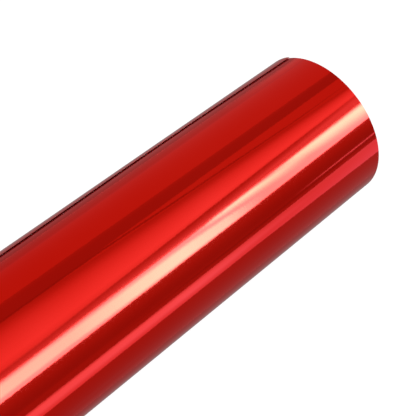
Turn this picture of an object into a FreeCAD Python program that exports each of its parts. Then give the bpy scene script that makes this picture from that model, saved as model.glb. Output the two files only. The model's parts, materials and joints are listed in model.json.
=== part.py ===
"""A roll of self-adhesive sign vinyl: a metallised web wound face-out on a spiral paper core.

The roll's axis lies along X, with the origin at the middle of the core's bore and +Z up.
Angles round the roll start at +Y and turn towards +Z, about +X. The web is wound outwards
in that direction, and its free tail ends behind the top of the roll.
"""

import FreeCAD, Part
import math
import os

import Sketcher
from FreeCAD import Placement, Rotation, Vector

# Driving dimensions, in millimetres and degrees: (alias, value, what it is)
DIMENSIONS = [
    ("web_width", 610.0, "width of the web, along the roll"),
    ("core_overhang", 1.0, "how far the core stands proud of the web at each end"),
    ("core_bore_radius", 38.1, "bore of the standard 3 inch core"),
    ("lining_ply", 0.25, "kraft paper ply on the bore and on the outside of the core"),
    ("body_ply", 0.48, "each greyboard ply between the two kraft plies"),
    ("liner_thickness", 0.135, "siliconised paper release liner"),
    ("adhesive_thickness", 0.025, "pressure-sensitive adhesive"),
    ("base_film_thickness", 0.08, "metallised base film"),
    ("top_film_thickness", 0.03, "clear red top film"),
    ("wound_turns", 32.0, "whole turns of web on the core"),
    ("start_tape_thickness", 0.09, "double-sided tape under the start of the web"),
    ("start_tape_width", 25.0, "how far the start tape reaches round the core"),
    ("tail_root_angle", -7.0, "where the web stops lying tight and the tail begins"),
    ("tail_sweep", 60.0, "how far the tail reaches round the roll"),
    ("tail_step", 0.1, "air under the tail where it begins"),
    ("tail_spring", 0.5, "angle by which the relaxed tail stands off the roll"),
    ("closing_tape_place", -102.0, "middle of the closing tape, along the roll"),
    ("closing_tape_width", 19.0, "width of the closing tape, along the roll"),
    ("closing_tape_thickness", 0.05, "clear closing tape"),
    ("closing_tape_grip", 22.0, "how much of the closing tape is stuck to the tail"),
    ("closing_tape_free", 14.0, "how far the closing tape reaches past the tail's edge"),
    ("closing_tape_gap", 0.1, "air left under the free end of the closing tape"),
    ("label_length", 58.0, "core label, along the core"),
    ("label_width", 36.0, "core label, round the bore"),
    ("label_thickness", 0.08, "core label paper"),
    ("label_inset", 14.0, "from the core's end to the label"),
    ("label_angle", 250.0, "where the core label begins, round the bore"),
]

BODY_PLIES = 7  # greyboard plies in the core
ARCS_PER_TURN = 8  # arcs that make up one turn of the winding
STRIP_SPANS = 5  # spans that a bent strip is made of, along its length

doc = FreeCAD.newDocument("sign_vinyl_roll")
sheet = doc.addObject("Spreadsheet::Sheet", "dims")
for row, (alias, value, meaning) in enumerate(DIMENSIONS, start=1):
    sheet.set(f"A{row}", meaning)
    sheet.set(f"B{row}", str(value))
    sheet.setAlias(f"B{row}", alias)
doc.recompute()


def dim(alias):
    """A driving dimension's value, from the sheet."""
    return float(sheet.get(alias))


def expression(text):
    """An expression in which every driving dimension is looked up in the sheet."""
    aliases = {alias for alias, _, _ in DIMENSIONS}
    return " ".join(f"dims.{word}" if word in aliases else word for word in text.split())


CORE_WALL = f"( 2 * lining_ply + {BODY_PLIES} * body_ply )"
CORE_RADIUS = f"( core_bore_radius + {CORE_WALL} )"
CORE_LENGTH = "( web_width + 2 * core_overhang )"

# The web's layers from the inside out: (name, the expression of its thickness)
WEB_LAYERS = [
    ("release_liner", "liner_thickness"),
    ("adhesive", "adhesive_thickness"),
    ("metallised_film", "base_film_thickness"),
    ("clear_top_film", "top_film_thickness"),
]
WEB_THICKNESS = "( " + " + ".join(thickness for _, thickness in WEB_LAYERS) + " )"
WOUND_RADIUS = f"( {CORE_RADIUS} + start_tape_thickness + wound_turns * {WEB_THICKNESS} )"

core_radius = dim("core_bore_radius") + 2 * dim("lining_ply") + BODY_PLIES * dim("body_ply")
web_thickness = sum(dim(thickness) for _, thickness in WEB_LAYERS)
first_turn_radius = core_radius + dim("start_tape_thickness")
wound_radius = first_turn_radius + dim("wound_turns") * web_thickness


def new_body(label):
    """An empty body for one sub-part."""
    body = doc.addObject("PartDesign::Body", label)
    body.Label = label
    return body


def new_sketch(body, plane):
    """A sketch on one of the body's own origin planes."""
    sketch = body.newObject("Sketcher::SketchObject", f"{body.Label}_section")
    support = next(f for f in body.Origin.OriginFeatures if f.Role == plane)
    sketch.AttachmentSupport = (support, [""])
    sketch.MapMode = "FlatFace"
    return sketch


def bind(sketch, constraint, name, text):
    """Add a constraint and bind it to the driving dimensions."""
    index = sketch.addConstraint(constraint)
    sketch.renameConstraint(index, name)
    sketch.setExpression(f"Constraints.{name}", expression(text))


def tube(label, inside, outside):
    """A tube about the X axis, as long as the core."""
    body = new_body(label)
    sketch = new_sketch(body, "YZ_Plane")
    for name, text in (("inner_radius", inside), ("outer_radius", outside)):
        circle = sketch.addGeometry(Part.Circle(Vector(), Vector(0, 0, 1), core_radius), False)
        sketch.addConstraint(Sketcher.Constraint("Coincident", circle, 3, -1, 1))
        bind(sketch, Sketcher.Constraint("Radius", circle, core_radius), name, text)
    pad = body.newObject("PartDesign::Pad", f"{label}_length")
    pad.Profile = sketch
    pad.SideType = "Symmetric"
    pad.setExpression("Length", expression(CORE_LENGTH))
    body.Placement = Placement()
    return body


def curved_strip(label, inside, thickness, length, sweep, placement):
    """A strip bent round the X axis: a section between two arcs, as long as length.

    It is centred on the origin along X, and its section begins at the angle 0, along +Y. Its
    length is made up of equal spans side by side, which cut its long curved sides into patches.
    """
    body = new_body(label)
    sketch = new_sketch(body, "YZ_Plane")
    sketch.setExpression("AttachmentOffset.Base.z", expression(f"- {length} / 2"))
    origin, across = (-1, 1), -1
    first_guess = math.radians(45)

    def arc(radius):
        circle = Part.Circle(Vector(), Vector(0, 0, 1), radius)
        added = sketch.addGeometry(Part.ArcOfCircle(circle, 0, first_guess), False)
        sketch.addConstraint(Sketcher.Constraint("Coincident", added, 3, *origin))
        return added

    def edge(first, last, end):
        """The straight edge between the two arcs' starts (end 1) or ends (end 2)."""
        points = [sketch.getPoint(first, end), sketch.getPoint(last, end)]
        added = sketch.addGeometry(Part.LineSegment(*points), False)
        sketch.addConstraint(Sketcher.Constraint("Coincident", added, 1, first, end))
        sketch.addConstraint(Sketcher.Constraint("Coincident", added, 2, last, end))
        return added

    inner, outer = arc(core_radius), arc(core_radius + 5)
    start, finish = edge(inner, outer, 1), edge(inner, outer, 2)
    sketch.addConstraint(Sketcher.Constraint("PointOnObject", inner, 1, across))
    sketch.addConstraint(Sketcher.Constraint("Horizontal", start))
    sketch.addConstraint(Sketcher.Constraint("PointOnObject", *origin, finish))
    bind(sketch, Sketcher.Constraint("Radius", inner, core_radius), "inside", inside)
    bind(sketch, Sketcher.Constraint("Radius", outer, core_radius + 5), "outside", f"{inside} + {thickness}")
    bind(sketch, Sketcher.Constraint("Angle", finish, first_guess), "sweep", sweep)
    pad = body.newObject("PartDesign::Pad", f"{label}_span")
    pad.Profile = sketch
    pad.setExpression("Length", expression(f"{length} / {STRIP_SPANS}"))
    spans = body.newObject("PartDesign::LinearPattern", f"{label}_length")
    spans.Originals = [pad]
    spans.Direction = (next(f for f in body.Origin.OriginFeatures if f.Role == "X_Axis"), [""])
    spans.setExpression("Length", expression(f"{length} * {STRIP_SPANS - 1} / {STRIP_SPANS}"))
    spans.Occurrences = STRIP_SPANS
    spans.Refine = False
    body.Tip = spans
    body.Placement = placement
    return body


def turned(angle, centre=Vector()):
    """Turned about the X axis, with the axis moved to centre."""
    return Placement(centre, Rotation(Vector(1, 0, 0), angle))


def around(radius, angle, centre=Vector()):
    """The point at a radius and an angle in degrees round an axis parallel to X."""
    turn = math.radians(angle)
    return centre + Vector(0, radius * math.cos(turn), radius * math.sin(turn))


def winding_edges(radius):
    """One side of a wound layer: a smooth spiral of arcs that starts at this radius.

    After each arc the centre steps back along the radius, so the next arc is tangent to it
    and larger, and each turn comes out one web thickness outside the turn before.
    """
    count = round(dim("wound_turns") * ARCS_PER_TURN)
    step = 360.0 / ARCS_PER_TURN
    growth = web_thickness / ARCS_PER_TURN
    centre = Vector()
    angle = dim("tail_root_angle") - count * step
    edges = []
    for _ in range(count):
        points = [around(radius, angle + part * step, centre) for part in (0, 0.5, 1)]
        edges.append(Part.Arc(*points).toShape())
        angle += step
        centre = around(-growth, angle, centre)
        radius += growth
    return edges


def wound_layer(label, depth, thickness):
    """One layer of the web over all its turns, as a solid between two spirals."""
    inner = winding_edges(first_turn_radius + depth)
    outer = winding_edges(first_turn_radius + depth + thickness)
    first = Part.makeLine(outer[0].Vertexes[0].Point, inner[0].Vertexes[0].Point)
    last = Part.makeLine(inner[-1].Vertexes[-1].Point, outer[-1].Vertexes[-1].Point)
    outline = Part.Wire([first] + inner + [last] + outer[::-1])
    layer = doc.addObject("Part::Feature", label)
    layer.Label = label
    layer.Shape = Part.Face(outline).extrude(Vector(dim("web_width"), 0, 0))
    layer.Placement = Placement(Vector(-dim("web_width") / 2, 0, 0), Rotation())
    return layer


# Core: a kraft ply, the greyboard plies and a second kraft ply
sub_parts = [tube("core_inner_ply", "core_bore_radius", "core_bore_radius + lining_ply")]
for ply in range(BODY_PLIES):
    base = "core_bore_radius + lining_ply"
    sub_parts.append(
        tube(f"core_middle_ply_{ply + 1}", f"{base} + {ply} * body_ply", f"{base} + {ply + 1} * body_ply")
    )
sub_parts.append(tube("core_outer_ply", f"{CORE_RADIUS} - lining_ply", CORE_RADIUS))

# A blank paper label stuck inside the core, at its -X end
core_end = dim("web_width") / 2 + dim("core_overhang")
label_middle = dim("label_inset") + dim("label_length") / 2 - core_end
sub_parts.append(
    curved_strip(
        "core_label",
        inside="core_bore_radius - label_thickness",
        thickness="label_thickness",
        length="label_length",
        sweep="label_width / core_bore_radius * 180 / pi * 1 deg",
        placement=turned(dim("label_angle"), Vector(label_middle, 0, 0)),
    )
)

# The tape that fixes the start of the web to the core
sub_parts.append(
    curved_strip(
        "start_tape",
        inside=CORE_RADIUS,
        thickness="start_tape_thickness",
        length="web_width",
        sweep=f"start_tape_width / {CORE_RADIUS} * 180 / pi * 1 deg",
        placement=turned(dim("tail_root_angle")),
    )
)

# The wound web, layer by layer
depth = 0.0
for name, thickness in WEB_LAYERS:
    sub_parts.append(wound_layer(f"wound_{name}", depth, dim(thickness)))
    depth += dim(thickness)

# The tail: the same layers, relaxed, so that they bend about a centre of their own. It starts
# from the outer edge of the wound web's end, and stands off the turn below by a small angle.
tail_radius = wound_radius + dim("tail_step")
root_angle = dim("tail_root_angle")
hinge = around(tail_radius + web_thickness, root_angle)
tail_start = root_angle - dim("tail_spring")
tail_end = tail_start + dim("tail_sweep")
tail_centre = hinge - around(tail_radius + web_thickness, tail_start)
inside = f"{WOUND_RADIUS} + tail_step"
for name, thickness in WEB_LAYERS:
    sub_parts.append(
        curved_strip(
            f"tail_{name}",
            inside=inside,
            thickness=thickness,
            length="web_width",
            sweep="tail_sweep * 1 deg",
            placement=turned(tail_start, tail_centre),
        )
    )
    inside = f"{inside} + {thickness}"


def closing_tape(label):
    """The short tape that holds the tail's edge: on the tail, down its edge and on the roll."""
    on_tail = tail_radius + web_thickness
    on_roll = wound_radius + web_thickness * dim("tail_sweep") / 360 + dim("closing_tape_gap")
    grip = math.degrees(dim("closing_tape_grip") / on_tail)
    free = math.degrees(dim("closing_tape_free") / on_roll)
    drop = math.degrees(2 * (on_tail - on_roll) / on_tail)

    def side(thickness):
        """The tape's path at a height over what it lies on: an arc, a slope and an arc."""
        stuck = [around(on_tail + thickness, tail_end - part * grip, tail_centre) for part in (1, 0.5, 0)]
        loose = [around(on_roll + thickness, tail_end + drop + part * free) for part in (0, 0.5, 1)]
        return [
            Part.Arc(*stuck).toShape(),
            Part.makeLine(stuck[-1], loose[0]),
            Part.Arc(*loose).toShape(),
        ]

    under, over = side(0.0), side(dim("closing_tape_thickness"))
    first = Part.makeLine(over[0].Vertexes[0].Point, under[0].Vertexes[0].Point)
    last = Part.makeLine(under[-1].Vertexes[-1].Point, over[-1].Vertexes[-1].Point)
    outline = Part.Wire([first] + under + [last] + over[::-1])
    tape = doc.addObject("Part::Feature", label)
    tape.Label = label
    tape.Shape = Part.Face(outline).extrude(Vector(dim("closing_tape_width"), 0, 0))
    tape.Placement = Placement(
        Vector(dim("closing_tape_place") - dim("closing_tape_width") / 2, 0, 0), Rotation()
    )
    return tape


sub_parts.append(closing_tape("closing_tape"))

doc.recompute()
for item in doc.Objects:
    if "Invalid" in item.State or "Error" in item.State:
        raise RuntimeError(f"{item.Label} did not compute: {item.State}")
for sub_part in sub_parts:
    if sub_part.Shape.isNull() or not sub_part.Shape.isValid():
        raise RuntimeError(f"{sub_part.Label} has no valid shape")

os.makedirs("parts", exist_ok=True)
for sub_part in sub_parts:
    sub_part.Shape.exportStep(f"parts/{sub_part.Label}.step")
    print(f"{sub_part.Label}: {sub_part.Shape.Volume:.0f} mm3, {len(sub_part.Shape.Solids)} solid")
print(f"tail hinge at y {hinge.y:.3f}, z {hinge.z:.3f}, outer radius {wound_radius + web_thickness:.2f}")
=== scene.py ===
"""A roll of red metallised sign vinyl on a pale studio floor.

Angles round the roll are in degrees about +X, from +Y towards +Z. The web winds outwards in
that direction. Its tail lies against the back of the roll and ends behind the top.
"""

import json
import math

import bmesh
import bpy
import numpy as np
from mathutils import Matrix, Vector


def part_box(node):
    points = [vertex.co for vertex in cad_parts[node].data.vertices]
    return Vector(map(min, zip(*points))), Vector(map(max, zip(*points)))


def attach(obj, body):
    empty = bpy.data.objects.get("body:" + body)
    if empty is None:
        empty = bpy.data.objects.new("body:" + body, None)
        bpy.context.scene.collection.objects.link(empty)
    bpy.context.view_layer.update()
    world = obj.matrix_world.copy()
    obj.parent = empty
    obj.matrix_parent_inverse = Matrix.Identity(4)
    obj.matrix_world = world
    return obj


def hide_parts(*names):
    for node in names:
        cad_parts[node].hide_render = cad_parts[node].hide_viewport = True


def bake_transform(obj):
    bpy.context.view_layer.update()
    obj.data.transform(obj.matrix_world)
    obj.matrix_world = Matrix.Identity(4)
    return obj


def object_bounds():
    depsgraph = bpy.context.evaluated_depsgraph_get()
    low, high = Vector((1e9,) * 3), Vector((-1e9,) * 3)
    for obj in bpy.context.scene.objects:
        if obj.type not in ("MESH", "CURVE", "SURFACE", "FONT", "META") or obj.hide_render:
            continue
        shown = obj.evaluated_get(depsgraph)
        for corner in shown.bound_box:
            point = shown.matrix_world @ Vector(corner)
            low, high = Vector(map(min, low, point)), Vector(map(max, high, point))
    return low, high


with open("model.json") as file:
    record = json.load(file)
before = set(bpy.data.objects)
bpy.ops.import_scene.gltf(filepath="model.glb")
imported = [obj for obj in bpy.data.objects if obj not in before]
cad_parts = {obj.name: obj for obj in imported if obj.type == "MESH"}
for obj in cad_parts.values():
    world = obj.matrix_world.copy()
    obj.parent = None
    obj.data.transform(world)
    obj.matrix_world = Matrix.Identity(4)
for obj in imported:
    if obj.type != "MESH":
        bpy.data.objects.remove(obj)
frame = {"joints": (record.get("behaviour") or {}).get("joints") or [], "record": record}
cad_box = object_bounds()

MM = 0.001


# ------------------------------------------------------------------ sizes, from the frame

JOINTS = {joint["name"]: joint for joint in frame["joints"]}
HINGE = Vector(JOINTS["tail_lift"]["pos_m"])
WEB_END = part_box("wound_release_liner")[1][0]
CORE_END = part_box("core_inner_ply")[1][0]
BORE_RADIUS = frame["record"]["mounts"][0]["dims"]["r_mm"] * MM
CORE_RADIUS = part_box("core_outer_ply")[1][1]
TAPE_LOW, TAPE_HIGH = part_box("closing_tape")
LABEL_LOW, LABEL_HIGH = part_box("core_label")
FLOOR = cad_box[0][2]

LINING_PLY = 0.25 * MM
MIDDLE_PLY = 0.48 * MM
MIDDLE_PLIES = 7
LABEL_PAPER = 0.08 * MM
LABEL_ANGLE = 250.0
LABEL_SWEEP = 54.1
START_TAPE = 0.09 * MM
START_TAPE_SWEEP = 34.1

# The web's layers: how deep in the web each begins, and its thickness
LINER = (0.0, 0.135 * MM)
ADHESIVE = (0.135 * MM, 0.025 * MM)
BASE_FILM = (0.16 * MM, 0.08 * MM)
TOP_FILM = (0.24 * MM, 0.03 * MM)
WEB = 0.27 * MM
TURNS = 32
ARCS_PER_TURN = 8
ROOT_ANGLE = -7.0
FIRST_TURN = CORE_RADIUS + START_TAPE
WOUND_RADIUS = FIRST_TURN + TURNS * WEB

# The tail stands off the roll by a small step and angle. Along it, all is in degrees from its
# root: where it ends, where its root strip ends and where the bend of a peeled film ends. The
# liner and the adhesive end a little short of the film.
TAIL_SWEEP = 60.0
TAIL_SPRING = 0.5
TAIL_RADIUS = WOUND_RADIUS + 0.1 * MM
ROOT_SWEEP = 9.0
PEEL_SWEEP = 25.0
LINER_SHORT = 0.6
ADHESIVE_SHORT = LINER_SHORT / 2

# The wander of the tail's cut edge: its most in degrees, and the lengths over which it fades and
# repeats, from the far end of the roll
WANDER = 3.2
WANDER_FADE = 200 * MM
WANDER_WAVE = 264 * MM

# The closing tape: its thickness, the degrees that hold the tail and that go on past its edge,
# and its gap to the turn below
CLOSING_TAPE = 0.05 * MM
CLOSING_TAPE_GRIP = 24.7
CLOSING_TAPE_FREE = 15.8
CLOSING_TAPE_GAP = 0.1 * MM

# How finely the meshes are cut, and the angle in degrees from which an edge is shaded sharp
TUBE_SIDES = 180
HIDDEN_CUTS_PER_TURN = 120
SHEET_STEP = 1.0
WAVE_PARTS = 60
SHARP_ANGLE = 35


# ------------------------------------------------------------------ curves


def around(radius, angle, x=0.0, centre=(0.0, 0.0)):
    """The point at a radius and an angle in degrees round an axis parallel to X."""
    turn = math.radians(angle)
    return (x, centre[0] + radius * math.cos(turn), centre[1] + radius * math.sin(turn))


def tail_centre():
    """The centre that the relaxed tail bends about, from the hinge at its outer edge."""
    _, across, up = around(TAIL_RADIUS + WEB, ROOT_ANGLE - TAIL_SPRING)
    return (HINGE[1] - across, HINGE[2] - up)


TAIL_CENTRE = tail_centre()


def smooth(share):
    """Eases from 0 to 1."""
    share = min(1.0, max(0.0, share))
    return share * share * (3 - 2 * share)


def on_core(radius):
    """Where a strip on the core lies: at a height over this radius."""
    return lambda angle, height, x: around(radius + height, angle, x)


def arc_centres():
    """The centres of the arcs that make up a turn of the winding.

    Each steps back along the radius from the one before, so that a larger arc follows smoothly.
    """
    centres = [(0.0, 0.0)]
    for count in range(1, ARCS_PER_TURN):
        angle = ROOT_ANGLE + count * 360 / ARCS_PER_TURN
        _, across, up = around(-WEB / ARCS_PER_TURN, angle, 0.0, centres[-1])
        centres.append((across, up))
    return centres


ARC_CENTRES = arc_centres()


def on_winding(depth):
    """Where a wound layer lies. Its station is the angle from the start of the winding."""

    def place(wound, height, x):
        arcs = int(wound * ARCS_PER_TURN / 360)
        radius = FIRST_TURN + depth + WEB * arcs / ARCS_PER_TURN
        return around(radius + height, ROOT_ANGLE + wound, x, ARC_CENTRES[arcs % ARCS_PER_TURN])

    return place


def cut_wander(x):
    """How far, in degrees, the tail's knife-cut edge wanders from a straight line across the web."""
    from_end = WEB_END - x
    return WANDER * math.exp(-from_end / WANDER_FADE) * math.cos(2 * math.pi * from_end / WANDER_WAVE)


def on_tail(depth):
    """Where a layer of the tail lies: it leaves the winding and eases out to its own curve."""

    def place(along, height, x):
        along = along + cut_wander(x) * smooth((along - PEEL_SWEEP) / (TAIL_SWEEP - PEEL_SWEEP))
        radius = depth + height + WEB * along / 360
        tight = around(WOUND_RADIUS + radius, ROOT_ANGLE + along, x)
        loose_angle = ROOT_ANGLE - TAIL_SPRING + along
        loose = around(TAIL_RADIUS + depth + height, loose_angle, x, TAIL_CENTRE)
        return tuple(Vector(tight).lerp(Vector(loose), smooth(along / ROOT_SWEEP)))

    return place


def drawn_wave(x, station):
    """How far the drawn film stands up, on the last turn and the tail: long, shallow waves.

    Stations are degrees from the tail's root. The waves die out towards it and towards the
    roll's ends, and stay inside the square box that touches the roll on four sides.
    """
    height = 0.010 * MM
    edge_fade = 60 * MM
    root_fade = 25
    angle = ROOT_ANGLE + station
    turn = math.radians(angle)
    along = math.sin(31 * x + 1.3 * math.sin(2 * turn)) + math.sin(53 * x - 3 * turn + 0.8)
    edge = smooth((WEB_END - abs(x)) / edge_fade)
    away = smooth(abs((angle - ROOT_ANGLE + 180) % 360 - 180) / root_fade)
    room = WOUND_RADIUS * (1 / max(abs(math.cos(turn)), abs(math.sin(turn))) - 1)
    return min(height * (2 + along) * edge * away, room)


def telescoped(wound):
    """How far a turn's edge has slipped in from the end of the roll: a slow drift and a shake."""
    drift_height, shake_height = 0.05, 0.012
    drift = math.sin(math.radians(wound) / 7.3) + math.sin(math.radians(wound) / 2.9 + 1.0)
    shake = math.sin(math.radians(wound) * 1.7 + 0.4) + math.sin(math.radians(wound) * 4.3)
    return (drift_height * (2 + drift) + shake_height * (2 + shake)) * MM


# ------------------------------------------------------------------ meshes


def new_piece(name, solid, material, node, slot, body=None):
    """A mesh piece that stands for a CAD node and, when a body is given, rides on it."""
    points, faces = solid
    mesh = bpy.data.meshes.new(name)
    mesh.from_pydata([tuple(point) for point in points], [], [tuple(face) for face in faces])
    mesh.validate()
    shell = bmesh.new()
    shell.from_mesh(mesh)
    bmesh.ops.recalc_face_normals(shell, faces=shell.faces)
    shell.to_mesh(mesh)
    shell.free()
    mesh.materials.append(material)
    mesh.shade_smooth()
    mesh.set_sharp_from_angle(angle=math.radians(SHARP_ANGLE))
    piece = bpy.data.objects.new(name, mesh)
    bpy.context.scene.collection.objects.link(piece)
    if body:
        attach(piece, body)
    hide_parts(node)
    return piece


def ring_solid(sections, closed=False):
    """Points and faces of a solid swept through sections, each a loop of as many points.

    The first half of a loop is one side of the solid, and the second half comes back along the
    other side, so that point by point the halves face each other.
    """
    sections = np.asarray(sections, float)
    count, size = sections.shape[:2]
    faces = []
    for row in range(count if closed else count - 1):
        here = row * size
        there = (row + 1) % count * size
        for side in range(size):
            following = (side + 1) % size
            faces.append((here + side, there + side, there + following, here + following))
    if not closed:
        for cap in (0, (count - 1) * size):
            for side in range(size // 2 - 1):
                across = size - 1 - side
                faces.append((cap + side, cap + side + 1, cap + across - 1, cap + across))
    return sections.reshape(-1, 3), faces


def strip_solid(stations, place, thickness, ends_at, parts=1, ripple=None):
    """A thin sheet that follows a curve, cut across at stations, as points and faces.

    place(station, height, x) is a point of the sheet, at a height over its inner side, and
    ends_at(station) are its two ends along X, with this many parts between them.
    ripple(x, station) lifts the outer side.
    """
    sections = []
    for station in stations:
        first, last = ends_at(station)
        across = np.linspace(first, last, parts + 1)
        lift = [ripple(x, station) if ripple else 0.0 for x in across]
        outside = [place(station, thickness + up, x) for x, up in zip(across, lift)]
        inside = [place(station, 0.0, x) for x in reversed(across)]
        sections.append(outside + inside)
    return ring_solid(sections)


def graded(start, end, step):
    """Stations from start to end, closer together towards both ends.

    Where two sheets meet, a mirror shows a crease if their last steps are long.
    """
    finest = step / 8
    growth = 1.5
    steps = []
    size = finest
    while size < step:
        steps.append(size)
        size *= growth
    middle = end - start - 2 * sum(steps)
    count = max(1, round(middle / step))
    steps = steps + [middle / count] * count + steps[::-1]
    return start + np.concatenate([[0.0], np.cumsum(steps)])


def helical_ply(inner, thickness, pitch, gap):
    """One ply of the spiral core: a paper strip wound at a pitch, with a fine butt seam."""
    turn_step = 4.0
    sections = []
    for count in range(int((2 * CORE_END / pitch + 2) * 360 / turn_step) + 1):
        angle = count * turn_step
        middle = pitch * angle / 360 - CORE_END - pitch
        first = max(middle - (pitch - gap) / 2, -CORE_END)
        last = min(middle + (pitch - gap) / 2, CORE_END)
        if last - first > gap:
            outside = [around(inner + thickness, angle, first), around(inner + thickness, angle, last)]
            inside = [around(inner, angle, last), around(inner, angle, first)]
            sections.append(outside + inside)
    return ring_solid(sections)


def tube_solid(inner, outer, end_at):
    """A tube about X whose ends follow end_at(angle), so that its cut is a little uneven."""
    sections = []
    for angle in np.linspace(0, 360, TUBE_SIDES, endpoint=False):
        end = end_at(angle)
        outside = [around(outer, angle, -end), around(outer, angle, end)]
        inside = [around(inner, angle, end), around(inner, angle, -end)]
        sections.append(outside + inside)
    return ring_solid(sections, closed=True)


# ------------------------------------------------------------------ materials


class Look:
    """A material and its node tree, with a Principled shader."""

    def __init__(self, name, **sockets):
        self.material = bpy.data.materials.new(name)
        self.material.use_nodes = True
        self.nodes = self.material.node_tree.nodes
        self.links = self.material.node_tree.links
        self.shader = self.nodes["Principled BSDF"]
        for socket, value in sockets.items():
            self.shader.inputs[socket.replace("_", " ")].default_value = value
        self.place = self.nodes.new("ShaderNodeTexCoord").outputs["Object"]

    def link(self, output, node, socket):
        self.links.new(output, node.inputs[socket])

    def scaled(self, scale):
        """Object coordinates, stretched by a factor along each axis."""
        node = self.nodes.new("ShaderNodeMapping")
        node.inputs["Scale"].default_value = scale
        self.link(self.place, node, "Vector")
        return node.outputs["Vector"]

    def noise(self, scale, detail=3.0, roughness=0.5, vector=None):
        node = self.nodes.new("ShaderNodeTexNoise")
        node.inputs["Scale"].default_value = scale
        node.inputs["Detail"].default_value = detail
        node.inputs["Roughness"].default_value = roughness
        self.link(vector or self.place, node, "Vector")
        return node.outputs["Fac"]

    def ramp(self, value, *stops):
        """A colour or grey by value: stops are (position, colour)."""
        node = self.nodes.new("ShaderNodeValToRGB")
        elements = node.color_ramp.elements
        while len(elements) < len(stops):
            elements.new(0.5)
        for element, (position, colour) in zip(elements, stops):
            element.position = position
            grey = isinstance(colour, (int, float))
            element.color = (colour, colour, colour, 1) if grey else (*colour, 1)
        self.link(value, node, "Fac")
        return node.outputs["Color"]

    def mixed(self, kind, factor, first, second):
        """Two colours blended by a number or a value. The node's colours are its later sockets."""
        node = self.nodes.new("ShaderNodeMix")
        node.data_type = "RGBA"
        node.blend_type = kind
        factor_socket, first_socket, second_socket = node.inputs[0], node.inputs[6], node.inputs[7]
        if isinstance(factor, float):
            factor_socket.default_value = factor
        else:
            self.links.new(factor, factor_socket)
        self.links.new(first, first_socket)
        self.links.new(second, second_socket)
        return node.outputs[2]

    def arithmetic(self, operation, first, second):
        """Arithmetic on a value and a number or a second value."""
        node = self.nodes.new("ShaderNodeMath")
        node.operation = operation
        self.links.new(first, node.inputs[0])
        if isinstance(second, (int, float)):
            node.inputs[1].default_value = second
        else:
            self.links.new(second, node.inputs[1])
        return node.outputs[0]

    def between(self, value, low, high):
        """1 where a value lies between two limits, and 0 elsewhere."""
        over = self.arithmetic("GREATER_THAN", value, low)
        under = self.arithmetic("LESS_THAN", value, high)
        return self.arithmetic("MULTIPLY", over, under)

    def bump(self, height, distance, strength=1.0, under=None):
        node = self.nodes.new("ShaderNodeBump")
        node.inputs["Distance"].default_value = distance
        node.inputs["Strength"].default_value = strength
        self.link(height, node, "Height")
        if under:
            self.link(under, node, "Normal")
        return node.outputs["Normal"]

    def finish(self, **sockets):
        for socket, output in sockets.items():
            self.link(output, self.shader, socket.replace("_", " "))
        return self.material


def red_mirror_look():
    """Transparent red film over a metallised mirror, with the fine orange peel of cast film."""
    look = Look("red_mirror_film", Metallic=1.0, Specular_Tint=(1.0, 0.82, 0.82, 1.0))
    tint = look.ramp(look.noise(9.0, 2.0), (0.3, (0.79, 0.0095, 0.0038)), (0.7, (0.82, 0.0125, 0.0056)))
    gloss = look.ramp(look.noise(420.0, 4.0), (0.35, 0.045), (0.7, 0.085))
    peel = look.bump(look.noise(620.0, 2.0), 0.008 * MM)
    pull = look.bump(look.noise(1.0, 3.0, vector=look.scaled((60, 9, 9))), 0.05 * MM, 0.5, peel)
    return look.finish(Base_Color=tint, Roughness=gloss, Normal=pull)


def base_film_look():
    """The metallised base film, seen on its edges and where it is peeled."""
    look = Look("metallised_base_film", Specular_IOR_Level=0.0)
    shade = look.ramp(look.noise(160.0), (0.3, (0.11, 0.004, 0.003)), (0.7, (0.16, 0.008, 0.006)))
    gloss = look.ramp(look.noise(900.0), (0.3, 0.5), (0.7, 0.68))
    return look.finish(Base_Color=shade, Roughness=gloss, Normal=look.bump(look.noise(1500.0), 0.01 * MM))


def adhesive_look():
    """Pressure-sensitive adhesive over the grey back of the film."""
    look = Look("adhesive", Specular_IOR_Level=0.0)
    shade = look.ramp(look.noise(70.0, 5.0), (0.3, (0.55, 0.55, 0.54)), (0.7, (0.66, 0.66, 0.64)))
    gloss = look.ramp(look.noise(800.0), (0.3, 0.34), (0.7, 0.5))
    return look.finish(Base_Color=shade, Roughness=gloss, Normal=look.bump(look.noise(1100.0), 0.02 * MM))


def liner_look():
    """Siliconised paper: white, smooth, with a faint cloudy formation and fibres."""
    look = Look("liner_paper", Specular_IOR_Level=0.0)
    cloud = look.ramp(look.noise(55.0, 6.0, 0.65), (0.3, (0.80, 0.785, 0.74)), (0.75, (0.88, 0.87, 0.835)))
    fibre = look.ramp(look.noise(1.0, 4.0, vector=look.scaled((420, 2600, 2600))), (0.35, 0.9), (0.65, 1.0))
    shade = look.mixed("MULTIPLY", 0.8, cloud, fibre)
    gloss = look.ramp(look.noise(300.0), (0.3, 0.36), (0.7, 0.52))
    return look.finish(Base_Color=shade, Roughness=gloss, Normal=look.bump(fibre, 0.02 * MM, 0.6))


def paper_look(name, dark, light, scale, depth, fibre_scale):
    """Uncoated paper or board: mottled, with fibres that lie round the core."""
    look = Look(name, Specular_IOR_Level=0.0)
    mottle = look.ramp(look.noise(scale, 6.0, 0.7), (0.3, dark), (0.72, light))
    fibre = look.ramp(look.noise(1.0, 5.0, 0.7, look.scaled(fibre_scale)), (0.38, 0.74), (0.62, 1.0))
    shade = look.mixed("MULTIPLY", 0.85, mottle, fibre)
    gloss = look.ramp(look.noise(scale * 3), (0.3, 0.72), (0.7, 0.9))
    grain = look.bump(look.noise(scale * 9, 5.0, 0.7), depth)
    return look.finish(Base_Color=shade, Roughness=gloss, Normal=look.bump(fibre, depth, 0.7, grain))


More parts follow.
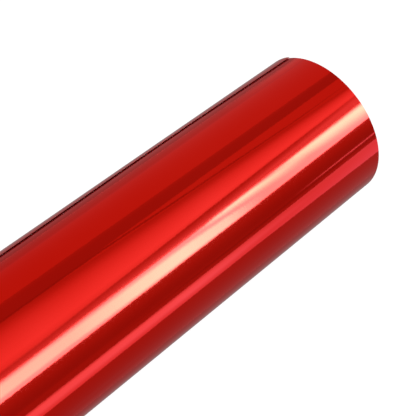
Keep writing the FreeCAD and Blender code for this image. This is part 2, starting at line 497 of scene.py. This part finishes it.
def greyboard_look(ply):
    """Recycled board, in a slightly different shade for each ply."""
    tone = 0.93 + 0.06 * math.sin(2.4 * ply)
    dark = (0.235 * tone, 0.175 * tone, 0.115 * tone)
    light = (0.40 * tone, 0.315 * tone, 0.22 * tone)
    return paper_look(f"greyboard_{ply}", dark, light, 260.0, 0.06 * MM, (700, 1900, 1900))


def label_look():
    """Coated label paper with a red colour patch and ruled lines, and nothing written on it."""
    look = Look("label_paper", Specular_IOR_Level=0.0)
    paper = look.ramp(look.noise(120.0, 5.0), (0.3, (0.80, 0.79, 0.76)), (0.7, (0.87, 0.865, 0.84)))
    parts = look.nodes.new("ShaderNodeSeparateXYZ")
    look.link(look.place, parts, "Vector")
    along = parts.outputs["X"]
    patch_start, patch_end, rules_start, margin = 4 * MM, 14 * MM, 19 * MM, 3 * MM
    rule_gap, rule_width = 3 * MM, 0.2 * MM
    patch = look.between(along, LABEL_LOW[0] + patch_start, LABEL_LOW[0] + patch_end)
    ruled = look.between(along, LABEL_LOW[0] + rules_start, LABEL_HIGH[0] - margin)
    line = look.between(look.arithmetic("PINGPONG", along, rule_gap), 0.0, rule_width)
    red = look.ramp(look.noise(500.0), (0.3, (0.50, 0.012, 0.010)), (0.7, (0.58, 0.018, 0.014)))
    ink = look.ramp(look.noise(900.0), (0.3, 0.16), (0.7, 0.26))
    printed = look.mixed("MIX", patch, paper, red)
    printed = look.mixed("MIX", look.arithmetic("MULTIPLY", line, ruled), printed, ink)
    gloss = look.ramp(look.noise(300.0), (0.3, 0.4), (0.7, 0.55))
    return look.finish(Base_Color=printed, Roughness=gloss, Normal=look.bump(look.noise(1500.0), 0.01 * MM))


def tissue_tape_look():
    """Double-sided tissue tape: off-white, soft and fibrous."""
    look = Look("tissue_tape", Specular_IOR_Level=0.0)
    fibre = look.noise(1.0, 5.0, 0.7, look.scaled((900, 2600, 2600)))
    shade = look.ramp(fibre, (0.35, (0.70, 0.66, 0.56)), (0.65, (0.84, 0.81, 0.72)))
    gloss = look.ramp(look.noise(600.0), (0.3, 0.45), (0.7, 0.7))
    return look.finish(Base_Color=shade, Roughness=gloss, Normal=look.bump(fibre, 0.02 * MM))


def clear_tape_look():
    """Clear closing tape, with fine lines along its length."""
    look = Look("clear_tape", Transmission_Weight=1.0, IOR=1.46)
    lines = look.noise(1.0, 3.0, vector=look.scaled((2500, 120, 120)))
    gloss = look.ramp(look.noise(700.0), (0.3, 0.05), (0.7, 0.16))
    tint = look.ramp(look.noise(40.0), (0.3, (0.97, 0.97, 0.95)), (0.7, (1.0, 1.0, 0.99)))
    return look.finish(Base_Color=tint, Roughness=gloss, Normal=look.bump(lines, 0.01 * MM))


# ------------------------------------------------------------------ core


def rough_cut(seed):
    """The end of a sawn paper ply, by angle: a fraction of a millimetre short here and there."""
    depth = 0.03 * MM

    def end_at(angle):
        turn = math.radians(angle)
        wave = math.sin(3 * turn + seed) + math.sin(11 * turn + 2.3 * seed) + math.sin(29 * turn + seed)
        return CORE_END - depth * (3 + wave)

    return end_at


def make_core():
    """The spiral paper core: a kraft lining, greyboard plies and a kraft wrap."""
    dark, light = (0.30, 0.185, 0.095), (0.47, 0.32, 0.185)
    kraft = paper_look("kraft_paper", dark, light, 190.0, 0.03 * MM, (260, 1500, 1500))
    lining = helical_ply(BORE_RADIUS, LINING_PLY, pitch=109 * MM, gap=0.45 * MM)
    new_piece("core_lining", lining, kraft, "core_inner_ply", "kraft_paper", "roll")
    inner = BORE_RADIUS + LINING_PLY
    for ply in range(1, MIDDLE_PLIES + 1):
        board = tube_solid(inner, inner + MIDDLE_PLY, rough_cut(ply))
        look = greyboard_look(ply)
        new_piece(f"core_board_{ply}", board, look, f"core_middle_ply_{ply}", "greyboard", "roll")
        inner += MIDDLE_PLY
    wrap = tube_solid(inner, CORE_RADIUS, rough_cut(0))
    new_piece("core_wrap", wrap, kraft, "core_outer_ply", "kraft_paper", "roll")


def make_label():
    """The label inside the core, with rounded corners."""
    corner = 3 * MM

    def ends_at(angle):
        edge = math.radians(min(angle - LABEL_ANGLE, LABEL_ANGLE + LABEL_SWEEP - angle)) * BORE_RADIUS
        short = min(corner, max(0.0, corner - edge))
        inset = corner - math.sqrt(corner ** 2 - short ** 2)
        return LABEL_LOW[0] + inset, LABEL_HIGH[0] - inset

    stations = graded(LABEL_ANGLE, LABEL_ANGLE + LABEL_SWEEP, SHEET_STEP)
    paper = strip_solid(stations, on_core(BORE_RADIUS - LABEL_PAPER), LABEL_PAPER, ends_at)
    new_piece("core_stock_label", paper, label_look(), "core_label", "label_paper", "roll")


def make_start_tape():
    """The double-sided tape that holds the start of the web on the core."""
    cuts = 24
    stations = np.linspace(ROOT_ANGLE, ROOT_ANGLE + START_TAPE_SWEEP, cuts)
    tape = strip_solid(stations, on_core(CORE_RADIUS), START_TAPE, lambda angle: (-WEB_END, WEB_END))
    new_piece("start_tape_strip", tape, tissue_tape_look(), "start_tape", "tissue_tape", "roll")


# ------------------------------------------------------------------ web


def make_winding(liner, adhesive, base_film, top_film):
    """The wound turns of each layer. The last turn of the face is finer, as it is a mirror."""

    def edges(ooze):
        return lambda wound: (telescoped(wound) + ooze - WEB_END, WEB_END - telescoped(wound) - ooze)

    hidden = np.arange(0, TURNS * 360 + 0.1, 360 / HIDDEN_CUTS_PER_TURN)
    for name, (depth, thickness), look, node, slot, ooze in (
        ("web_liner", LINER, liner, "wound_release_liner", "liner_paper", 0.0),
        ("web_adhesive", ADHESIVE, adhesive, "wound_adhesive", "adhesive", 0.05 * MM),
        ("web_base_film", BASE_FILM, base_film, "wound_metallised_film", "metallised_film", 0.02 * MM),
    ):
        layer = strip_solid(hidden, on_winding(depth), thickness, edges(ooze))
        new_piece(name, layer, look, node, slot, "roll")

    depth, thickness = TOP_FILM
    inner_turns = hidden[: (TURNS - 1) * HIDDEN_CUTS_PER_TURN + 1]
    node, slot = "wound_clear_top_film", "red_top_film"
    layer = strip_solid(inner_turns, on_winding(depth), thickness, edges(0.0))
    new_piece("web_top_film", layer, top_film, node, slot, "roll")
    last_turn = graded((TURNS - 1) * 360, TURNS * 360, SHEET_STEP)
    face = strip_solid(last_turn, on_winding(depth), thickness, edges(0.0), WAVE_PARTS, drawn_wave)
    new_piece("web_face", face, top_film, node, slot, "roll")


def make_tail(liner, adhesive, base_film, top_film):
    """The tail: its liner in one sheet, and each film layer with a root that the peel leaves."""
    root = on_tail(0.0)(0.0, 0.0, 0.0)
    lifted = on_tail(0.0)(ROOT_SWEEP, 0.0, 0.0)
    peeled = on_tail(0.0)(PEEL_SWEEP, 0.0, 0.0)
    inset = telescoped(TURNS * 360)

    def ends_at(along):
        return inset - WEB_END, WEB_END - inset

    def sheet(name, layer, look, node, slot, start, end, ripple=None):
        depth, thickness = layer
        stations = graded(start, end, SHEET_STEP)
        solid = strip_solid(stations, on_tail(depth), thickness, ends_at, WAVE_PARTS, ripple)
        return new_piece(name, solid, look, node, slot)

    node, slot = "tail_release_liner", "liner_paper"
    liner_sheet = sheet("tail_liner", LINER, liner, node, slot, 0.0, TAIL_SWEEP - LINER_SHORT)
    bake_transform(liner_sheet)

    adhesive_end = TAIL_SWEEP - ADHESIVE_SHORT
    for name, layer, look, node, slot, end, ripple in (
        ("adhesive", ADHESIVE, adhesive, "tail_adhesive", "adhesive", adhesive_end, None),
        ("base_film", BASE_FILM, base_film, "tail_metallised_film", "metallised_film", TAIL_SWEEP, None),
        ("face", TOP_FILM, top_film, "tail_clear_top_film", "red_top_film", TAIL_SWEEP, drawn_wave),
    ):
        strip = sheet(f"tail_root_{name}", layer, look, node, slot, 0.0, ROOT_SWEEP, ripple)
        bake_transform(strip)
        main = sheet(f"tail_{name}", layer, look, node, slot, ROOT_SWEEP, end, ripple)
        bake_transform(main)


def make_closing_tape():
    """The short clear tape over the tail's edge. Both of its ends are cut by a toothed blade."""
    teeth = 15
    tooth_share = 1.1 / 40
    cuts = 60
    drop = 1.2
    length = CLOSING_TAPE_GRIP + drop + CLOSING_TAPE_FREE
    grip_radius = TAIL_RADIUS + (WEB + 0.01 * MM)
    roll_radius = WOUND_RADIUS + WEB * TAIL_SWEEP / 360 + CLOSING_TAPE_GAP
    tail_edge = ROOT_ANGLE - TAIL_SPRING + TAIL_SWEEP

    def path(share, height):
        """A point of the tape by its share of the length, over the tail and then the roll."""
        past_edge = share * length - CLOSING_TAPE_GRIP
        over = around(grip_radius + height, tail_edge + past_edge, 0.0, TAIL_CENTRE)
        under = around(roll_radius + height, tail_edge + past_edge)
        return Vector(over).lerp(Vector(under), smooth(past_edge / drop))

    sections = []
    low, high = TAPE_LOW[0], TAPE_HIGH[0]
    for count in range(2 * teeth + 1):
        x = low + (high - low) * count / (2 * teeth)
        notch = tooth_share * (count % 2)
        shares = np.linspace(notch, 1 - notch, cuts)
        top = [path(share, CLOSING_TAPE) + Vector((x, 0, 0)) for share in shares]
        bottom = [path(share, 0.0) + Vector((x, 0, 0)) for share in reversed(shares)]
        sections.append([tuple(point) for point in top + bottom])
    tape = ring_solid(sections)
    new_piece("closing_tape_strip", tape, clear_tape_look(), "closing_tape", "clear_tape", "tail_film")


# ------------------------------------------------------------------ camera, floor and light

# The camera, from the middle of the roll's far end, in roll radii
ROLL_RADIUS = 50.8 * MM
FAR_END = Vector((WEB_END, 0.0, 0.0))
CAMERA = FAR_END + ROLL_RADIUS * Vector((-8.4549, -6.2550, 9.7411))
SIGHT = Vector((0.48291, 0.47365, -0.73651))
LENS = 93.44

# In this camera, the roll's surface at an angle p, in degrees from the top towards the camera,
# mirrors what stands at MIRROR_TURN * p + MIRROR_SHIFT, at about FAR_X along the roll for its
# far end and NEAR_X for the nearest part in view.
MIRROR_TURN = 2.035
MIRROR_SHIFT = -34.0
FAR_X = 1.05
NEAR_X = 0.33


def make_camera():
    """The photograph's camera, which looks down and towards the roll's far end."""
    lens = bpy.data.cameras.new("camera")
    lens.lens = LENS
    lens.clip_start = 0.01
    camera = bpy.data.objects.new("camera", lens)
    bpy.context.scene.collection.objects.link(camera)
    camera.location = CAMERA
    camera.rotation_euler = SIGHT.to_track_quat("-Z", "Y").to_euler()
    bpy.context.scene.camera = camera


def stage_mesh(name, points, faces, material):
    """A mesh of the studio, which isn't part of the object."""
    mesh = bpy.data.meshes.new(name)
    mesh.from_pydata(points, [], faces)
    mesh.materials.append(material)
    item = bpy.data.objects.new(name, mesh)
    bpy.context.scene.collection.objects.link(item)
    return item


def make_floor():
    """A large floor that glows a little, so that it stays white and holds only a faint shadow."""
    material = bpy.data.materials.new("floor")
    material.use_nodes = True
    shader = material.node_tree.nodes["Principled BSDF"]
    shader.inputs["Base Color"].default_value = (0.22, 0.22, 0.22, 1)
    shader.inputs["Roughness"].default_value = 1.0
    shader.inputs["Specular IOR Level"].default_value = 0.0
    shader.inputs["Emission Color"].default_value = (1, 1, 1, 1)
    shader.inputs["Emission Strength"].default_value = 0.93
    reach = 30.0
    signs = ((-1, -1), (1, -1), (1, 1), (-1, 1))
    corners = [(reach * x, reach * y, FLOOR) for x, y in signs]
    stage_mesh("floor", corners, [(0, 1, 2, 3)], material)


def pinker(level, pink=1.0):
    """The colour of a soft light seen in the red film: pinker as it gets brighter."""
    grey_below, green_rise, blue_rise = 0.5, 1.7, 4.2
    rise = max(0.0, level - grey_below) * pink
    return (level, level * (1 + green_rise * rise), level * (1 + blue_rise * rise))


def glow(name, stops):
    """A glowing material. Stops are (share across the card, colour), and "shown" fades it."""
    material = bpy.data.materials.new(name)
    material.use_nodes = True
    tree = material.node_tree
    tree.nodes.clear()
    across = tree.nodes.new("ShaderNodeAttribute")
    across.attribute_name = "across"
    shown = tree.nodes.new("ShaderNodeAttribute")
    shown.attribute_name = "shown"
    strongest = max(max(colour) for _, colour in stops)
    ramp = tree.nodes.new("ShaderNodeValToRGB")
    while len(ramp.color_ramp.elements) < len(stops):
        ramp.color_ramp.elements.new(0.5)
    for element, (position, colour) in zip(ramp.color_ramp.elements, stops):
        element.position = position
        element.color = [part / strongest for part in colour] + [1]
    emission = tree.nodes.new("ShaderNodeEmission")
    emission.inputs["Strength"].default_value = strongest
    clear = tree.nodes.new("ShaderNodeBsdfTransparent")
    mixed = tree.nodes.new("ShaderNodeMixShader")
    output = tree.nodes.new("ShaderNodeOutputMaterial")
    tree.links.new(across.outputs["Fac"], ramp.inputs["Fac"])
    tree.links.new(ramp.outputs["Color"], emission.inputs["Color"])
    tree.links.new(shown.outputs["Fac"], mixed.inputs["Fac"])
    tree.links.new(clear.outputs["BSDF"], mixed.inputs[1])
    tree.links.new(emission.outputs["Emission"], mixed.inputs[2])
    tree.links.new(mixed.outputs["Shader"], output.inputs["Surface"])
    return material


def card(name, rows, point_at, levels, soft):
    """A glowing card that only reflections see.

    Its rows are (place, from, to) or (place, from, to, shown), and point_at(place, reach) is a
    point of it. Levels are one light, or stops (share across the card, light). A light is what
    pinker takes, (level) or (level, pink), or else a colour. The card fades in over the first
    share in soft and out over the second.
    """
    even_places = 17
    parts = 24
    if not isinstance(levels[0], tuple):
        levels = ((0.0, levels), (1.0, levels))
    stops = [(at, pinker(*light) if len(light) < 3 else light) for at, light in levels]
    known = [row[0] for row in rows]
    places = sorted(set(known) | set(np.linspace(known[0], known[-1], even_places)))
    points, across, shown = [], [], []
    for place in places:
        first = np.interp(place, known, [row[1] for row in rows])
        last = np.interp(place, known, [row[2] for row in rows])
        whole = np.interp(place, known, [row[3] if len(row) > 3 else 1.0 for row in rows])
        for part in range(parts + 1):
            share = part / parts
            points.append(point_at(place, first + (last - first) * share))
            across.append(share)
            fade = smooth(share / soft[0]) if soft[0] else 1.0
            fade *= smooth((1 - share) / soft[1]) if soft[1] else 1.0
            shown.append(whole * fade)
    faces = []
    for here in range((len(places) - 1) * (parts + 1)):
        if (here + 1) % (parts + 1):
            faces.append((here, here + 1, here + parts + 2, here + parts + 1))
    item = stage_mesh(name, points, faces, glow(name, stops))
    for attribute, values in (("across", across), ("shown", shown)):
        item.data.attributes.new(attribute, "FLOAT", "POINT").data.foreach_set("value", values)
    item.visible_camera = False
    item.visible_diffuse = False
    item.visible_shadow = False
    item.visible_transmission = False


def studio_card(name, rows, levels, distance=1.0, soft=(0.0, 0.0)):
    """A card round the roll, placed by where the roll shows it.

    Each row's place is 0 at the roll's far end and 1 at the nearest part in view, and it
    reaches between two angles on the roll's surface.
    """

    def point_at(place, shown_at):
        turn = math.radians(MIRROR_TURN * shown_at + MIRROR_SHIFT)
        x = FAR_X + (NEAR_X - FAR_X) * place
        return (x, -distance * math.sin(turn), distance * math.cos(turn))

    card(name, rows, point_at, levels, soft)


def floor_card(name, rows, levels, lift=0.3 * MM, soft=(0.0, 0.0)):
    """A card on the floor, which paints light or shade on it for reflections. Each row is at an x and
    reaches between two values of y.
    """
    card(name, rows, lambda x, y: (x, y, FLOOR + lift), levels, soft)


def make_light():
    """A grey world and one large lamp, which reflections don't see."""
    world = bpy.data.worlds.new("studio")
    world.use_nodes = True
    world.node_tree.nodes["Background"].inputs["Color"].default_value = (0.6, 0.6, 0.6, 1)
    bpy.context.scene.world = world
    lamp = bpy.data.lights.new("key", "AREA")
    lamp.energy = 9.0
    lamp.size = 1.2
    key = bpy.data.objects.new("key", lamp)
    bpy.context.scene.collection.objects.link(key)
    key.location = (-0.7, -0.9, 1.3)
    key.rotation_euler = (-key.location).to_track_quat("-Z", "Y").to_euler()
    key.visible_glossy = False
    bpy.context.scene.view_settings.view_transform = "Standard"


def make_cards():
    """The cards and flags whose reflections run along the roll, from its top to its foot.

    Cards round the roll reach from before its far end to beyond its nearest part, and those on
    the floor go on past both of its ends.
    """
    before, beyond = -1.6, 5.0
    floor_from, floor_to = -4.0, 4.0

    def band(name, far, near, levels, distance=1.0, soft=(0.0, 0.0)):
        rows = [(before, *far), (0.0, *far), (1.0, *near), (beyond, *near)]
        studio_card(name, rows, levels, distance, soft)

    band("dim_card", (6.4, 14.0), (2.9, 12.6), ((0.0, (0.45,)), (0.3, (0.40,)), (1.0, (0.39,))))
    rise = (
        (0.0, (0.50, 0.6)),
        (0.12, (0.60, 0.7)),
        (0.2, (0.70, 0.8)),
        (0.35, (0.86, 0.9)),
        (0.5, (0.96, 0.95)),
        (0.65, (1.04, 1.0)),
        (0.85, (1.12, 1.0)),
        (1.0, (1.0, 1.0)),
    )
    band("bright_card", (23.3, 31.2), (12.6, 35.8), rise)
    edge_rows = [
        (0.0, 20.6, 21.2, 0.3),
        (0.2, 19.8, 20.8, 0.8),
        (0.5, 16.3, 17.6),
        (0.77, 12.8, 14.3),
        (1.0, 12.0, 13.4),
        (beyond, 12.0, 13.4),
    ]
    studio_card("bright_card_edge", edge_rows, (0.33,), distance=0.98, soft=(0.3, 0.3))
    rim = ((0.0, (0.84, 1.3)), (0.4, (0.95, 1.9)), (1.0, (0.96, 1.9)))
    band("rim_card", (31.2, 38.4), (35.8, 41.0), rim)
    shade_rows = [
        (0.0, 31.2, 33.0, 0.2),
        (0.2, 31.6, 35.6, 0.8),
        (0.5, 32.8, 38.4),
        (1.0, 36.2, 40.8, 0.6),
        (beyond, 36.2, 40.8, 0.6),
    ]
    shade = ((0.0, (0.52,)), (0.2, (0.50,)), (0.55, (0.66, 2.0)), (1.0, (0.88, 2.2)))
    studio_card("rim_shade", shade_rows, shade, distance=0.98, soft=(0.12, 0.3))

    band("softbox", (37.0, 50.0), (39.4, 50.9), (3.4, 22.5, 45.0), soft=(0.18, 0.03))
    cream = (5.0, 66.0, 97.0)
    far_rows = [
        (before, 37.2, 50.2),
        (0.0, 37.2, 50.2),
        (0.19, 37.9, 47.5),
        (0.27, 38.4, 44.8, 0.9),
        (0.35, 38.8, 42.5, 0.0),
    ]
    studio_card("softbox_far", far_rows, cream, distance=0.96, soft=(0.28, 0.75))
    middle_rows = [
        (0.24, 41.5, 49.0, 0.0),
        (0.34, 39.4, 47.0, 0.8),
        (0.42, 38.8, 45.0, 1.0),
        (0.5, 39.0, 43.4, 0.85),
        (0.58, 39.6, 42.0, 0.0),
    ]
    studio_card("softbox_middle", middle_rows, cream, distance=0.95, soft=(0.35, 0.8))
    peach = (4.0, 55.0, 85.0)
    near_rows = [
        (0.42, 46.0, 50.5, 0.0),
        (0.52, 43.0, 50.6, 0.75),
        (0.64, 41.0, 50.7, 1.0),
        (0.77, 40.6, 50.8, 1.0),
        (0.96, 40.6, 49.4, 0.6),
        (beyond, 40.6, 49.4, 0.6),
    ]
    studio_card("softbox_near", near_rows, peach, distance=0.94, soft=(0.3, 0.25))

    dark = ((0.0, (0.54, 8.0)), (0.15, (0.47,)), (0.55, (0.37,)), (0.8, (0.34,)), (1.0, (0.36,)))
    band("flag", (50.3, 62.7), (50.9, 62.7), dark)
    gap_rows = [(before, 61.4, 62.7), (0.0, 61.4, 62.7), (0.2, 61.6, 62.7), (0.3, 61.8, 62.7, 0.0)]
    studio_card("flag_gap", gap_rows, (1.0, 3.0), distance=0.97, soft=(0.3, 0.3))

    def floor_band(name, start, end, levels):
        floor_card(name, [(floor_from, start, end), (floor_to, start, end)], levels)

    # The floor cards paint the floor's light and shade, for reflections only: the dim ones are painted
    # shade and painted shadow of the roll, and front_light is a painted pool of light.
    foot, front_edge, shadow, behind = -0.348, -0.131, -0.062, 0.08
    # Painted shade: a dim sheet that darkens the floor far in front of the roll, seen only in reflections.
    floor_band("flag_foot", -2.6, foot, (0.40,))
    foot_shade = [
        (0.3, -0.9, -0.45, 0.0),
        (0.5, -0.9, -0.45),
        (0.9, -0.9, -0.45, 0.6),
        (floor_to, -0.9, -0.45, 0.0),
    ]
    floor_card("flag_foot_shade", foot_shade, (0.30,), lift=0.6 * MM, soft=(0.3, 0.3))
    front = ((0.0, (0.86, 2.7)), (0.4, (0.88, 1.8)), (1.0, (0.93, 1.2)))
    floor_band("front_floor", foot, front_edge, front)
    lit_rows = [(floor_from, -0.33, -0.155), (0.22, -0.33, -0.155), (0.38, -0.33, -0.20, 0.0)]
    floor_card("front_light", lit_rows, (1.15, 2.4), lift=0.5 * MM, soft=(0.3, 0.35))
    edges = ((floor_from, -0.156), (0.26, -0.156), (0.40, -0.129), (floor_to, -0.129))
    near_shade_rows = [(x, edge, shadow) for x, edge in edges]
    # Painted shadow: a dim sheet for the roll's shadow on the floor just in front of it, seen only in
    # reflections.
    floor_card("floor_shade_near_roll", near_shade_rows, ((0.0, (0.44,)), (1.0, (0.38,))), lift=0.8 * MM)
    # Painted shadow: a dim sheet for the shade on the floor under the roll, seen only in reflections.
    floor_band("floor_shadow_under_roll", shadow, behind, (0.33,))
    # Painted shadow: a dim sheet for the roll's shadow on the floor behind it, seen only in reflections.
    floor_band("floor_shadow_behind_roll", behind, 3.0, (0.36,))
    patch_rows = [(before, -27.5, -18.8), (0.1, -27.0, -18.8), (0.3, -26.0, -19.5, 0.0)]
    studio_card("back_patch", patch_rows, (0.60, 0.0), distance=0.97, soft=(0.3, 0.1))
    band("back_wall", (-27.0, -18.0), (-27.0, -18.0), ((0.0, (0.45,)), (0.8, (0.50,)), (1.0, (0.57,))))


make_core()
make_label()
make_start_tape()
WEB_LOOKS = (liner_look(), adhesive_look(), base_film_look(), red_mirror_look())
make_winding(*WEB_LOOKS)
make_tail(*WEB_LOOKS)
make_closing_tape()
make_camera()
make_floor()
make_light()
make_cards()
